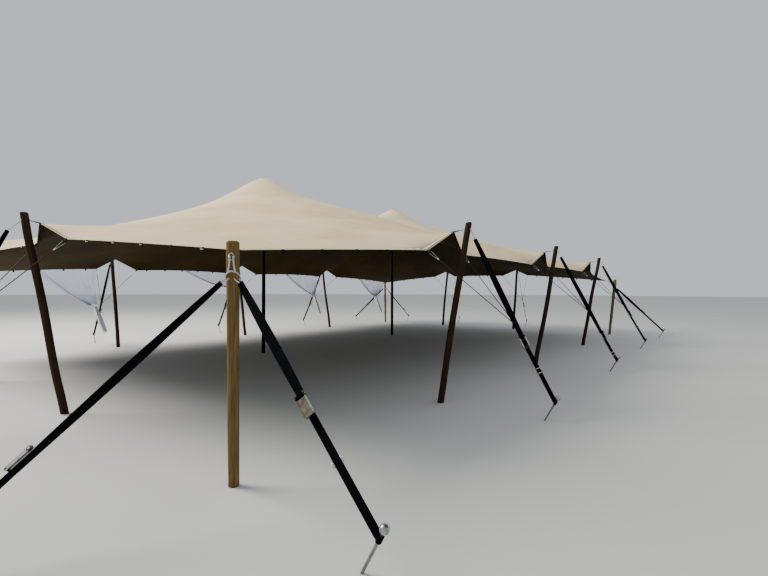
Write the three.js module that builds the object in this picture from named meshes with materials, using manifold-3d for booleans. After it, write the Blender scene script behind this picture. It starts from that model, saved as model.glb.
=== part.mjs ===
// Stretch tent
// One sheet of stretch fabric over two inner poles, held out by fourteen leaning
// poles round its edge and tied down with ratchet straps to stakes.
// Millimetres. X runs along the tent, Y across it, Z up from the ground.

import * as THREE from 'three';
import { mergeVertices } from 'three/addons/utils/BufferGeometryUtils.js';
import Module from 'manifold-3d';

const wasm = await Module();
wasm.setup();

// Plan, between the feet of the poles
const LENGTH = 15250;
const WIDTH = 9700;
const SIDE_STATIONS = [3300, 7300, 11400];
const END_STATIONS = [3450, 6600];

// Poles
const POLE_SIDES = 12;
const CORNER_POLE = { height: 1920, lean: 150, foot: 42, head: 50 };
const UPRIGHT_LEAN = 60;
const SIDE_POLE = { height: 2440, lean: 420, foot: 46, head: 42 };
const PEAKS = [
  { x: 4930, y: 5800, z: 4212 },
  { x: 10300, y: 5800, z: 4220 },
];
const INNER_POLE = { foot: 44, head: 41, cap: 96, capHeight: 90 };
const GAP = 0.3;

// Canopy
const FABRIC = 6;
const CORNER_IN = 80;
const CORNER_Z = 1866;
const TIP_Z = 2330;
const BRIDLE_OFF = 500;
const SIDE_EDGE = { tipOut: 200, bridleOut: 90, bridleZ: 2050 };
const END_EDGE = { tipOut: 270, bridleOut: 150, bridleZ: 2115 };
const HEM_PULL = 14;
const RIDGE_PULL = 5;
const RIDGE_LENGTH = 2500;
const SPINE_PULL = 0.37;
const CONE_RADIUS = 920;
const CONE_HEAD = 90;
const WIDE_PUSH = 0.0002;
const WIDE_RADIUS = 4000;
const PEAK_FLAT = 110;
const GRID_STEP = 560;
const FINE = 4;
const SOLVER_PASSES = 700;
const SOLVER_GAIN = 1.94;

// Straps, ropes and stakes
const STAKE = { lean: 160, height: 300, radius: 11, head: 30, headHeight: 34 };
const STAKE_OUT = { station: 1410, corner: 1505 };
const CORNER_DRIFT = 250;
const STRAP = { width: 60, thick: 5, roll: Math.PI / 3 };
const ROPE = 8;
const BRIDLE_ROPE = 6;
const RING = { wall: 9, height: 26 };
const COLLAR = { wall: 6, height: 60, z: 228 };
const SIDE_RING_Z = 2350;
const SIDE_STRAP_Z = 2250;
const TIP_SEAT = 1.15;
const BACK_TIP_SEAT = 1.8;
const CORNER_SEAT = 1.1;
const BRIDLE_SEAT = 8;
const CORNER_RING_Z = 1800;
const CORNER_STRAP_Z = 1630;
const BRIDLE_JOIN = 0.56;
const RATCHET = { length: 170, width: 76, thick: 34 };
const RATCHET_AT = { side: 0.585, end: 0.785, front_2: 0.78, station: 0.665 };

// Ratchets of the corner nearest the path, whose levers turn
const FRAME = { length: 150, height: 40, plate: 4, inside: 32, pin: 11, pinHeight: 24 };
const LEVER = { length: 150, plate: 4, inside: 41.5, width: 26, bar: 8, eye: 17 };

// Clear side curtains: hung from the back edge, drawn to a tie, with a loose tail
const CURTAIN = { thick: 16, columns: 8, rows: 5, tieWidth: 110, tailWidth: 190 };
const CURTAINS = [
  { from: 1450, to: 2780, drop: 3.5, tie: [3140, 10720, 1040], tail: [3360, 10640, 340] },
  { from: 5150, to: 6780, drop: 3.1, tie: [6900, 9830, 1560], tail: [7080, 9800, 1160] },
  { from: 9050, to: 10780, drop: 2.5, tie: [11220, 10430, 1280], tail: [11480, 10360, 530] },
  { from: 13200, to: 15000, drop: 3.5, tie: [14940, 10080, 1190], tail: [15300, 10020, 460] },
];

const group = new THREE.Group();
group.name = 'stretch_tent';

const material = (color, roughness, metalness) =>
  new THREE.MeshStandardMaterial({ color, roughness, metalness });
const sandFabric = material('#d2c6ae', 0.9, 0);
const paleTimber = material('#9c8a5c', 0.75, 0);
const darkTimber = material('#4a3328', 0.7, 0);
const blackPole = material('#15120f', 0.55, 0);
const webbing = material('#15161c', 0.85, 0);
const steel = material('#6f7072', 0.4, 1);
const zinc = material('#a9abad', 0.35, 1);
const clearFilm = material('#c9cfd6', 0.15, 0);

// Geometry to solid and back
function solid(geometry) {
  const bare = geometry.index ? geometry.toNonIndexed() : geometry.clone();
  for (const name of Object.keys(bare.attributes)) {
    if (name !== 'position') {
      bare.deleteAttribute(name);
    }
  }
  const merged = mergeVertices(bare, 1e-4);
  return new wasm.Manifold(new wasm.Mesh({
    numProp: 3,
    vertProperties: new Float32Array(merged.attributes.position.array),
    triVerts: new Uint32Array(merged.index.array),
  }));
}

function geometryOf(manifold) {
  const mesh = manifold.getMesh();
  const geometry = new THREE.BufferGeometry();
  const stride = mesh.numProp;
  const points = new Float32Array(mesh.vertProperties.length / stride * 3);
  for (let i = 0; i < points.length / 3; i++) {
    for (let k = 0; k < 3; k++) {
      points[3 * i + k] = mesh.vertProperties[stride * i + k];
    }
  }
  geometry.setAttribute('position', new THREE.BufferAttribute(points, 3));
  geometry.setIndex(new THREE.BufferAttribute(new Uint32Array(mesh.triVerts), 1));
  const flat = geometry.toNonIndexed();
  flat.computeVertexNormals();
  return flat;
}

function add(name, shape, look) {
  const geometry = shape instanceof wasm.Manifold ? geometryOf(shape) : shape;
  const mesh = new THREE.Mesh(geometry, look);
  mesh.name = name;
  group.add(mesh);
  return mesh;
}

const join = (list) => wasm.Manifold.union(list);
const vec = (x, y, z) => new THREE.Vector3(x, y, z);

// Shapes
function leaning(geometry, foot, slopeX, slopeY) {
  const shear = new THREE.Matrix4().set(
    1, 0, slopeX, foot.x,
    0, 1, slopeY, foot.y,
    0, 0, 1, foot.z,
    0, 0, 0, 1,
  );
  return geometry.applyMatrix4(shear);
}

function lathe(profile, sides) {
  const points = profile.map(([r, z]) => new THREE.Vector2(r, z));
  return new THREE.LatheGeometry(points, sides).rotateX(Math.PI / 2);
}

function rod(a, b, radius, sides) {
  const along = b.clone().sub(a);
  const shape = new THREE.CylinderGeometry(radius, radius, along.length(), sides);
  const turn = new THREE.Quaternion().setFromUnitVectors(vec(0, 1, 0), along.normalize());
  const mid = a.clone().add(b).multiplyScalar(0.5);
  return shape.applyQuaternion(turn).translate(mid.x, mid.y, mid.z);
}

// The axes of a run from a to b, set at a point: along it, across its width and out of its
// face; the width lies level, or is rolled about the run
function runAxes(a, b, roll, point) {
  const forward = b.clone().sub(a).normalize();
  const level = vec(-forward.y, forward.x, 0).normalize();
  const side = level.clone().applyAxisAngle(forward, roll);
  const up = forward.clone().cross(side);
  return new THREE.Matrix4().makeBasis(forward, side, up).setPosition(point);
}

// A flat bar from a to b
function flatBar(a, b, width, thick, roll = 0) {
  const mid = a.clone().add(b).multiplyScalar(0.5);
  return new THREE.BoxGeometry(a.distanceTo(b), width, thick).applyMatrix4(runAxes(a, b, roll, mid));
}

// Stations round the edge: foot, outward direction and name
const place = (u, v) => vec(u - LENGTH / 2, v - WIDTH / 2, 0);
const sideStations = [];
for (const [i, u] of SIDE_STATIONS.entries()) {
  sideStations.push({ name: `front_${i + 1}`, foot: place(u, 0), out: vec(0, -1, 0) });
  sideStations.push({ name: `back_${i + 1}`, foot: place(u, WIDTH), out: vec(0, 1, 0) });
}
for (const [i, v] of END_STATIONS.entries()) {
  sideStations.push({ name: `left_${i + 1}`, foot: place(0, v), out: vec(-1, 0, 0) });
  sideStations.push({ name: `right_${i + 1}`, foot: place(LENGTH, v), out: vec(1, 0, 0) });
}
const corners = [
  { name: 'front_left', u: 0, v: 0, outX: -1, outY: -1, pole: { ...CORNER_POLE, lean: UPRIGHT_LEAN } },
  { name: 'front_right', u: LENGTH, v: 0, outX: 1, outY: -1, pole: CORNER_POLE },
  { name: 'back_left', u: 0, v: WIDTH, outX: -1, outY: 1, pole: CORNER_POLE },
  { name: 'back_right', u: LENGTH, v: WIDTH, outX: 1, outY: 1, pole: CORNER_POLE },
];

// Grid lines of the fabric: each held point lies on one, and every FINE-th line is kept
// for the solid
function gridLines(marks) {
  const sorted = [...new Set(marks)].sort((a, b) => a - b);
  const lines = [sorted[0]];
  for (let i = 1; i < sorted.length; i++) {
    const span = sorted[i] - sorted[i - 1];
    const parts = FINE * Math.max(1, Math.round(span / GRID_STEP));
    for (let k = 1; k <= parts; k++) {
      lines.push(sorted[i - 1] + span * k / parts);
    }
  }
  return lines;
}

function stationMarks(stations) {
  return stations.flatMap((s) => [s - BRIDLE_OFF, s, s + BRIDLE_OFF]);
}

function peakMarks(axis) {
  const rings = [-420, -200, -PEAK_FLAT, 0, PEAK_FLAT, 200, 420];
  const own = [...new Set(PEAKS.map((p) => p[axis]))];
  return own.flatMap((p) => rings.map((r) => p + r));
}

// The fabric takes the shape of a stretched net: every knot rests where the pulls on it
// balance, and the two inner poles push it up into cones
function fabricNet() {
  const us = gridLines([0, LENGTH, ...stationMarks(SIDE_STATIONS), ...peakMarks('x')]);
  const vs = gridLines([0, WIDTH, ...stationMarks(END_STATIONS), ...peakMarks('y')]);
  const nu = us.length;
  const nv = vs.length;
  const at = (i, j) => i * nv + j;
  const held = new Map();
  const hold = (u, v, x, y, z) => held.set(at(us.indexOf(u), vs.indexOf(v)), [x, y, z]);
  for (const u of [0, LENGTH]) {
    for (const v of [0, WIDTH]) {
      const x = u === 0 ? CORNER_IN : LENGTH - CORNER_IN;
      const y = v === 0 ? CORNER_IN : WIDTH - CORNER_IN;
      hold(u, v, x, y, CORNER_Z);
    }
  }
  for (const u of SIDE_STATIONS) {
    for (const [v, out] of [[0, -1], [WIDTH, 1]]) {
      hold(u, v, u, v + out * SIDE_EDGE.tipOut, TIP_Z);
      for (const k of [-BRIDLE_OFF, BRIDLE_OFF]) {
        hold(u + k, v, u + k, v + out * SIDE_EDGE.bridleOut, SIDE_EDGE.bridleZ);
      }
    }
  }
  for (const v of END_STATIONS) {
    for (const [u, out] of [[0, -1], [LENGTH, 1]]) {
      hold(u, v, u + out * END_EDGE.tipOut, v, TIP_Z);
      for (const k of [-BRIDLE_OFF, BRIDLE_OFF]) {
        hold(u, v + k, u + out * END_EDGE.bridleOut, v + k, END_EDGE.bridleZ);
      }
    }
  }

  const share = (list, i) => {
    const before = i > 0 ? list[i] - list[i - 1] : 0;
    const after = i < list.length - 1 ? list[i + 1] - list[i] : 0;
    return (before + after) / 2;
  };
  const ridge = (mid, length) =>
    RIDGE_PULL * Math.max(0, 1 - Math.min(mid, length - mid) / RIDGE_LENGTH);
  const pullU = (i, j) => {
    const edge = j === 0 || j === nv - 1 ? HEM_PULL : 0;
    const mid = (us[i] + us[i + 1]) / 2;
    const rib = END_STATIONS.includes(vs[j]) ? ridge(mid, LENGTH) : 0;
    const between = mid > PEAKS[0].x && mid < PEAKS[1].x && vs[j] === PEAKS[0].y;
    const spine = between ? SPINE_PULL : 0;
    return (share(vs, j) + 1000 * (edge + rib + spine)) / (us[i + 1] - us[i]);
  };
  const pullV = (i, j) => {
    const edge = i === 0 || i === nu - 1 ? HEM_PULL : 0;
    const rib = SIDE_STATIONS.includes(us[i]) ? ridge((vs[j] + vs[j + 1]) / 2, WIDTH) : 0;
    return (share(us, i) + 1000 * (edge + rib)) / (vs[j + 1] - vs[j]);
  };
  // Pull of each knot on its neighbour one line further along and one line across
  const onward = new Float64Array(nu * nv);
  const across = new Float64Array(nu * nv);
  for (let i = 0; i < nu; i++) {
    for (let j = 0; j < nv; j++) {
      onward[at(i, j)] = i < nu - 1 ? pullU(i, j) : 0;
      across[at(i, j)] = j < nv - 1 ? pullV(i, j) : 0;
    }
  }
  const settle = (start, load, isHeld) => {
    const value = Float64Array.from(start);
    const free = start.map((_, k) => k).filter((k) => !isHeld(k));
    for (let pass = 0; pass < SOLVER_PASSES; pass++) {
      for (const k of free) {
        const back = k >= nv ? onward[k - nv] : 0;
        const below = k % nv > 0 ? across[k - 1] : 0;
        const sum = onward[k] + across[k] + back + below;
        let total = load[k];
        if (onward[k]) total += onward[k] * value[k + nv];
        if (across[k]) total += across[k] * value[k + 1];
        if (back) total += back * value[k - nv];
        if (below) total += below * value[k - 1];
        value[k] += SOLVER_GAIN * (total / sum - value[k]);
      }
    }
    return Array.from(value);
  };
  const none = new Array(nu * nv).fill(0);
  const isHeld = (k) => held.has(k);
  const onHead = (peak, k) =>
    Math.abs(us[Math.floor(k / nv)] - peak.x) <= PEAK_FLAT &&
    Math.abs(vs[k % nv] - peak.y) <= PEAK_FLAT;
  const isPinned = (k) => held.has(k) || PEAKS.some((peak) => onHead(peak, k));
  const first = (axis) => none.map((_, k) => {
    if (held.has(k)) return held.get(k)[axis];
    return [us[Math.floor(k / nv)], vs[k % nv], SIDE_EDGE.bridleZ][axis];
  });
  const x = settle(first(0), none, isPinned);
  const y = settle(first(1), none, isPinned);
  const flat = settle(first(2), none, isHeld);
  const cones = PEAKS.map((peak) => settle(none, none.map((_, k) => {
    const u = us[Math.floor(k / nv)];
    const v = vs[k % nv];
    const r = Math.hypot(u - peak.x, v - peak.y);
    const near = Math.max(0, 1 - r / CONE_RADIUS) / Math.max(r, CONE_HEAD);
    const wide = WIDE_PUSH * Math.max(0, 1 - r / WIDE_RADIUS);
    return (near + wide) * share(us, Math.floor(k / nv)) * share(vs, k % nv);
  }), isHeld));
  const tops = PEAKS.map((peak) => at(us.indexOf(peak.x), vs.indexOf(peak.y)));
  const [a, b] = tops;
  const det = cones[0][a] * cones[1][b] - cones[0][b] * cones[1][a];
  const needA = PEAKS[0].z - flat[a];
  const needB = PEAKS[1].z - flat[b];
  const lift = [
    (needA * cones[1][b] - needB * cones[1][a]) / det,
    (needB * cones[0][a] - needA * cones[0][b]) / det,
  ];
  const z = flat.map((value, k) => {
    const peak = PEAKS.find((p) => onHead(p, k));
    return peak ? peak.z : value + lift[0] * cones[0][k] + lift[1] * cones[1][k];
  });
  const kept = (list) => list.filter((_, i) => i % FINE === 0);
  const points = [];
  for (let i = 0; i < nu; i += FINE) {
    for (let j = 0; j < nv; j += FINE) {
      const k = at(i, j);
      points.push(vec(x[k] - LENGTH / 2, y[k] - WIDTH / 2, z[k]));
    }
  }
  const rows = kept(vs).length;
  return { us: kept(us), vs: kept(vs), at: (i, j) => i * rows + j, points };
}

const net = fabricNet();

// A closed sheet: the net set out half the thickness to each side, and a rim between
function closedSheet(points, at, nu, nv, thick) {
  const normals = points.map(() => vec(0, 0, 0));
  const face = (a, b, c) => {
    const n = points[b].clone().sub(points[a]).cross(points[c].clone().sub(points[a]));
    for (const k of [a, b, c]) normals[k].add(n);
  };
  const quads = [];
  for (let i = 0; i < nu - 1; i++) {
    for (let j = 0; j < nv - 1; j++) {
      quads.push([at(i, j), at(i + 1, j), at(i + 1, j + 1), at(i, j + 1)]);
    }
  }
  const triangles = [];
  for (const [p, q, r, s] of quads) {
    const one = points[p].distanceTo(points[r]) < points[q].distanceTo(points[s]);
    triangles.push(...(one ? [[p, q, r], [p, r, s]] : [[p, q, s], [q, r, s]]));
  }
  for (const [a, b, c] of triangles) face(a, b, c);
  const count = points.length;
  for (const n of normals) n.setLength(thick / 2);
  const top = points.map((p, k) => p.clone().add(normals[k]));
  const under = points.map((p, k) => p.clone().sub(normals[k]));
  const index = [];
  for (const [a, b, c] of triangles) {
    index.push(a, b, c, count + a, count + c, count + b);
  }
  const rim = [];
  for (let i = 0; i < nu - 1; i++) rim.push([at(i, 0), at(i + 1, 0)]);
  for (let j = 0; j < nv - 1; j++) rim.push([at(nu - 1, j), at(nu - 1, j + 1)]);
  for (let i = nu - 1; i > 0; i--) rim.push([at(i, nv - 1), at(i - 1, nv - 1)]);
  for (let j = nv - 1; j > 0; j--) rim.push([at(0, j), at(0, j - 1)]);
  for (const [a, b] of rim) {
    index.push(a, count + a, count + b, a, count + b, b);
  }
  const geometry = new THREE.BufferGeometry().setFromPoints([...top, ...under]);
  geometry.setIndex(index);
  geometry.computeVertexNormals();
  return geometry;
}

add('canopy', closedSheet(net.points, net.at, net.us.length, net.vs.length, FABRIC), sandFabric);

// Poles round the edge
function poleShape(pole, foot, outX, outY, grow = 0) {
  const { height, lean } = pole;
  const low = grow > 0 ? -50 : 0;
  const top = height + grow;
  const profile = [
    [0, low],
    [pole.foot + grow, low],
    [pole.head + grow, top - 18],
    [pole.head - 12 + grow, top],
    [0, top],
  ];
  return leaning(lathe(profile, POLE_SIDES), foot, outX * lean / height, outY * lean / height);
}

const poleRadius = (pole, z) => pole.foot + (pole.head - pole.foot) * z / pole.height;

for (const s of sideStations) {
  add(`pole_${s.name}`, poleShape(SIDE_POLE, s.foot, s.out.x, s.out.y), darkTimber);
}
for (const c of corners) {
  add(`pole_${c.name}`, poleShape(c.pole, place(c.u, c.v), c.outX, c.outY), paleTimber);
}

// Inner poles, each with a round head that spreads its push on the fabric
for (const [i, peak] of PEAKS.entries()) {
  const foot = place(peak.x, peak.y);
  const top = peak.z - FABRIC / 2 - GAP;
  const { foot: r0, head: r1, cap, capHeight } = INNER_POLE;
  const profile = [
    [0, 0],
    [r0, 0],
    [r1, top - capHeight],
    [cap * 0.82, top - capHeight * 0.85],
    [cap, top - capHeight * 0.45],
    [cap * 0.96, top - 10],
    [cap * 0.84, top],
    [0, top],
  ];
  add(`inner_pole_${i + 1}`, leaning(lathe(profile, 16), foot, 0, 0), blackPole);
}

// Stakes
function stakeShape(foot, out, grow = 0) {
  const { height, radius, head, headHeight, lean } = STAKE;
  const low = grow > 0 ? -50 : 0;
  const profile = [
    [0, low],
    [radius + grow, low],
    [radius + grow, height - headHeight],
    [head * 0.8 + grow, height - headHeight],
    [head + grow, height - headHeight * 0.75],
    [head + grow, height - headHeight * 0.5],
    [head * 0.75 + grow, height - headHeight * 0.15],
    [head * 0.35 + grow, height + grow],
    [0, height + grow],
  ];
  return leaning(lathe(profile, 10), foot, out.x * lean / height, out.y * lean / height);
}

function collarShape(foot, out) {
  const outer = STAKE.radius + COLLAR.wall;
  const shape = lathe([
    [0, COLLAR.z - COLLAR.height / 2],
    [outer, COLLAR.z - COLLAR.height / 2],
    [outer, COLLAR.z + COLLAR.height / 2],
    [0, COLLAR.z + COLLAR.height / 2],
  ], 10);
  return leaning(shape, foot, out.x * STAKE.lean / STAKE.height, out.y * STAKE.lean / STAKE.height);
}

const collarCentre = (foot, out) =>
  foot.clone().addScaledVector(out, STAKE.lean * COLLAR.z / STAKE.height).setZ(COLLAR.z);

// Rope or webbing wound round a leaning pole at height z
function windingShape(pole, foot, outX, outY, z, wall, height) {
  const radius = poleRadius(pole, z) + wall;
  const shape = lathe([
    [0, z - height / 2],
    [radius, z - height / 2],
    [radius, z + height / 2],
    [0, z + height / 2],
  ], POLE_SIDES);
  return leaning(shape, foot, outX * pole.lean / pole.height, outY * pole.lean / pole.height);
}

const along = (a, b, share) => a.clone().lerp(b, share);

function ratchetShape(a, b, share) {
  const body = new THREE.BoxGeometry(RATCHET.length, RATCHET.width, RATCHET.thick);
  body.translate(0, 0, RATCHET.thick / 2);
  return body.applyMatrix4(runAxes(a, b, STRAP.roll, along(a, b, share)));
}

// The axes of a ratchet whose lever turns, at its pin
function ratchetAxes(a, b, share) {
  const start = along(a, b, share - FRAME.length / 2 / a.distanceTo(b));
  const axes = runAxes(a, b, STRAP.roll, start);
  return axes.multiply(new THREE.Matrix4().makeTranslation(0, 0, FRAME.pinHeight));
}

// Frame: two plates on the strap with the pin through them
function frameShape(axes) {
  const { length, height, plate, inside, pin, pinHeight } = FRAME;
  const pieces = [];
  for (const k of [-1, 1]) {
    const cheek = new THREE.BoxGeometry(length, plate, height);
    cheek.translate(length / 2 - 22, k * (inside + plate / 2), height / 2 - pinHeight);
    pieces.push(solid(cheek.applyMatrix4(axes)));
  }
  const floor = new THREE.BoxGeometry(length - 20, 2 * (inside + plate), 3);
  pieces.push(solid(floor.translate(length / 2 - 12, 0, 3.6 - pinHeight).applyMatrix4(axes)));
  const reach = 2 * (LEVER.inside + LEVER.plate + 4);
  pieces.push(solid(new THREE.CylinderGeometry(pin, pin, reach, 14).applyMatrix4(axes)));
  return join(pieces);
}

// Lever: two arms turning on the pin and a bar between their ends
function leverShape(axes) {
  const { length, plate, inside, width, bar, eye } = LEVER;
  const pieces = [];
  for (const k of [-1, 1]) {
    const y = k * (inside + plate / 2);
    const arm = new THREE.BoxGeometry(length, plate, width).translate(length / 2, y, 0);
    const boss = new THREE.CylinderGeometry(eye, eye, plate, 14).translate(0, y, 0);
    pieces.push(solid(arm), solid(boss));
  }
  const grip = new THREE.CylinderGeometry(bar, bar, 2 * inside + 2 * plate, 10);
  pieces.push(solid(grip.translate(length - 10, 0, 0)));
  const hole = new THREE.CylinderGeometry(FRAME.pin + GAP, FRAME.pin + GAP, 400, 14);
  const shape = join(pieces).subtract(solid(hole));
  return geometryOf(shape).applyMatrix4(axes);
}

// The knot of the net at plan position u, v
function knot(u, v) {
  return net.points[net.at(net.us.indexOf(u), net.vs.indexOf(v))];
}

// Straps of the poles along the sides: rope round the pole's head, a tab to the tip of
// the fabric, the strap with its ratchet, and two bridle ropes to the fabric's edge
for (const s of sideStations) {
  const { foot, out } = s;
  const slope = SIDE_POLE.lean / SIDE_POLE.height;
  const axisAt = (z) => foot.clone().addScaledVector(out, slope * z).setZ(z);
  const stakeFoot = foot.clone().addScaledVector(out, STAKE_OUT.station);
  const start = axisAt(SIDE_STRAP_Z).addScaledVector(out, poleRadius(SIDE_POLE, SIDE_STRAP_Z));
  const end = collarCentre(stakeFoot, out);
  const u = foot.x + LENGTH / 2;
  const v = foot.y + WIDTH / 2;
  const tip = knot(u, v);
  const ringSide = axisAt(SIDE_RING_Z).addScaledVector(out, -poleRadius(SIDE_POLE, SIDE_RING_Z));
  const tipEnd = tip.clone().addScaledVector(out, out.y > 0 ? BACK_TIP_SEAT : TIP_SEAT);
  const join1 = along(start, end, BRIDLE_JOIN);
  const pieces = [
    windingShape(SIDE_POLE, foot, out.x, out.y, SIDE_RING_Z, RING.wall, RING.height),
    windingShape(SIDE_POLE, foot, out.x, out.y, SIDE_STRAP_Z, STRAP.thick, RING.height),
    rod(
      axisAt(SIDE_RING_Z).addScaledVector(out, poleRadius(SIDE_POLE, SIDE_RING_Z) + ROPE / 2),
      axisAt(SIDE_STRAP_Z).addScaledVector(out, poleRadius(SIDE_POLE, SIDE_STRAP_Z) + ROPE / 2),
      ROPE, 8,
    ),
    flatBar(ringSide, tipEnd, 44, 6),
    flatBar(start, end, STRAP.width, STRAP.thick, STRAP.roll),
    ratchetShape(start, end, RATCHET_AT[s.name] ?? RATCHET_AT.station),
    collarShape(stakeFoot, out),
  ].map(solid);
  const across = vec(-out.y, out.x, 0);
  for (const k of [-1, 1]) {
    const shift = across.clone().multiplyScalar(k * BRIDLE_OFF);
    const edge = knot(Math.round(u + shift.x), Math.round(v + shift.y));
    const toward = join1.clone().sub(edge).normalize();
    const from = edge.clone().addScaledVector(toward, BRIDLE_SEAT);
    pieces.push(solid(rod(from, join1, BRIDLE_ROPE, 6)));
  }
  const clear = join([
    solid(poleShape(SIDE_POLE, foot, out.x, out.y, GAP)),
    solid(stakeShape(stakeFoot, out, GAP)),
  ]);
  add(`strap_${s.name}`, join(pieces).subtract(clear), webbing);
  add(`stake_${s.name}`, stakeShape(stakeFoot, out), steel);
}

// Straps of the corners: a rope from the fabric's corner round the pole's head, and two
// straps from a second winding below it
for (const c of corners) {
  const { pole } = c;
  const foot = place(c.u, c.v);
  const slope = pole.lean / pole.height;
  const axisAt = (z) => vec(foot.x + c.outX * slope * z, foot.y + c.outY * slope * z, z);
  const diagonal = vec(c.outX, c.outY, 0).normalize();
  const r = poleRadius(pole, CORNER_RING_Z);
  const cornerKnot = knot(c.u, c.v);
  const pieces = [
    windingShape(pole, foot, c.outX, c.outY, CORNER_RING_Z, RING.wall, RING.height),
    windingShape(pole, foot, c.outX, c.outY, CORNER_STRAP_Z, RING.wall, 60),
    rod(
      axisAt(CORNER_RING_Z).addScaledVector(diagonal, r + ROPE / 2),
      axisAt(CORNER_STRAP_Z).addScaledVector(diagonal, r + ROPE / 2),
      ROPE, 8,
    ),
    flatBar(
      axisAt(CORNER_RING_Z).addScaledVector(diagonal, -r),
      cornerKnot.clone().addScaledVector(diagonal, CORNER_SEAT),
      44, 6,
    ),
  ].map(solid);
  const holes = [solid(poleShape(pole, foot, c.outX, c.outY, GAP))];
  const runs = [
    { name: 'side', out: vec(0, c.outY, 0), drift: vec(-CORNER_DRIFT, 0, 0) },
    { name: 'end', out: vec(c.outX, 0, 0), drift: vec(0, -c.outY * CORNER_DRIFT, 0) },
  ];
  for (const run of runs) {
    const stakeFoot = foot.clone().addScaledVector(run.out, STAKE_OUT.corner).add(run.drift);
    const end = collarCentre(stakeFoot, run.out);
    const start = axisAt(CORNER_STRAP_Z).addScaledVector(run.out, r);
    pieces.push(solid(flatBar(start, end, STRAP.width, STRAP.thick, STRAP.roll)));
    if (c.name === 'front_left') {
      const axes = ratchetAxes(start, end, RATCHET_AT[run.name]);
      pieces.push(frameShape(axes));
      add(`ratchet_lever_${run.name}`, leverShape(axes), zinc);
    } else {
      pieces.push(solid(ratchetShape(start, end, RATCHET_AT[run.name])));
    }
    pieces.push(solid(collarShape(stakeFoot, run.out)));
    holes.push(solid(stakeShape(stakeFoot, run.out, GAP)));
    add(`stake_${c.name}_${run.name}`, stakeShape(stakeFoot, run.out), steel);
  }
  add(`strap_${c.name}`, join(pieces).subtract(join(holes)), webbing);
}

// Curtains: rows of points from the fabric's edge to the tie and on down the tail
const backEdge = net.us.map((u, i) => net.points[net.at(i, net.vs.length - 1)]);

function edgePoint(x) {
  const i = backEdge.findIndex((p, k) => k > 0 && p.x >= x);
  const a = backEdge[i - 1];
  const b = backEdge[i];
  return a.clone().lerp(b, (x - a.x) / (b.x - a.x));
}

for (const [n, curtain] of CURTAINS.entries()) {
  const { thick, columns, rows, tieWidth, tailWidth } = CURTAIN;
  const at = (i, j) => i * (rows + 3) + j;
  const tie = place(curtain.tie[0], curtain.tie[1]).setZ(curtain.tie[2]);
  const tail = place(curtain.tail[0], curtain.tail[1]).setZ(curtain.tail[2]);
  const points = [];
  for (let i = 0; i <= columns; i++) {
    const c = i / columns;
    const x = curtain.from + (curtain.to - curtain.from) * c - LENGTH / 2;
    const top = edgePoint(x).sub(vec(0, 0, curtain.drop));
    const neck = tie.clone().add(vec((c - 0.5) * tieWidth, 0, 0));
    const end = tail.clone().add(vec((c - 0.5) * tailWidth, 0, 0));
    points.push(end, neck.clone().lerp(end, 0.3));
    for (let j = 0; j <= rows; j++) {
      const t = j / rows;
      const p = neck.clone().lerp(top, t);
      p.z -= 90 * Math.sin(Math.PI * t) * (1 - c);
      points.push(p);
    }
  }
  add(`curtain_${n + 1}`, closedSheet(points, at, columns + 1, rows + 3, thick), clearFilm);
}

export default group;
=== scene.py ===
"""Stretch tent: one elastic sheet over two inner poles, held out by leaning timber poles
and tied down with ratchet straps to steel stakes, with clear curtains gathered behind."""

import math
from collections import namedtuple
from functools import partial

import bmesh
import bpy
import numpy as np
from bmesh.types import BMEdge, BMFace, BMVert
from bpy.props import FloatProperty, IntProperty, PointerProperty, StringProperty
from bpy.types import Operator, Panel, PropertyGroup
from mathutils import Matrix, Quaternion, Vector, noise


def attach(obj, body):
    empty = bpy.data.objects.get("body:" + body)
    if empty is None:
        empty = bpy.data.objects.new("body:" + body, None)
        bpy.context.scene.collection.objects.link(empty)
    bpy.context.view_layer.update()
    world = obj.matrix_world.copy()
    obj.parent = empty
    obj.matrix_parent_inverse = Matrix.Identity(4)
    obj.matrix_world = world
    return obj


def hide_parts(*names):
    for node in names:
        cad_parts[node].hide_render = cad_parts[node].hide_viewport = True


bl_info = {
    "name": "Stretch tent",
    "version": (1, 0, 0),
    "blender": (4, 5, 0),
    "location": "View3D > Sidebar > Tent",
    "description": "Builds a stretch tent piece by piece round its packed solids",
    "category": "Add Mesh",
}

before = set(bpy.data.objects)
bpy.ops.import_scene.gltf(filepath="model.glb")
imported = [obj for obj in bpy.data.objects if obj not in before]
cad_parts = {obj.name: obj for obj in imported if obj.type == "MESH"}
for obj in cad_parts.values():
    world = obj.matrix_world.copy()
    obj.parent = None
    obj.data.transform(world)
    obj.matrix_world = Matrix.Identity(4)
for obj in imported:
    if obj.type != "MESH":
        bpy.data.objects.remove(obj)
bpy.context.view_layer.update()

ROOT = "root"
UP = Vector((0, 0, 1))

# Plan between the feet of the poles, and the places of the poles along it, in metres
LENGTH = 15.25
WIDTH = 9.7
SIDE_STATIONS = (3.3, 7.3, 11.4)
END_STATIONS = (3.45, 6.6)
PEAKS = ((4.93, 5.8, 4.212), (10.3, 5.8, 4.22))
# The sides and the ends: name, line on the plan and sign of the outward direction
SIDES = (("front", 0, -1), ("back", WIDTH, 1))
ENDS = (("left", 0, -1), ("right", LENGTH, 1))

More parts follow.
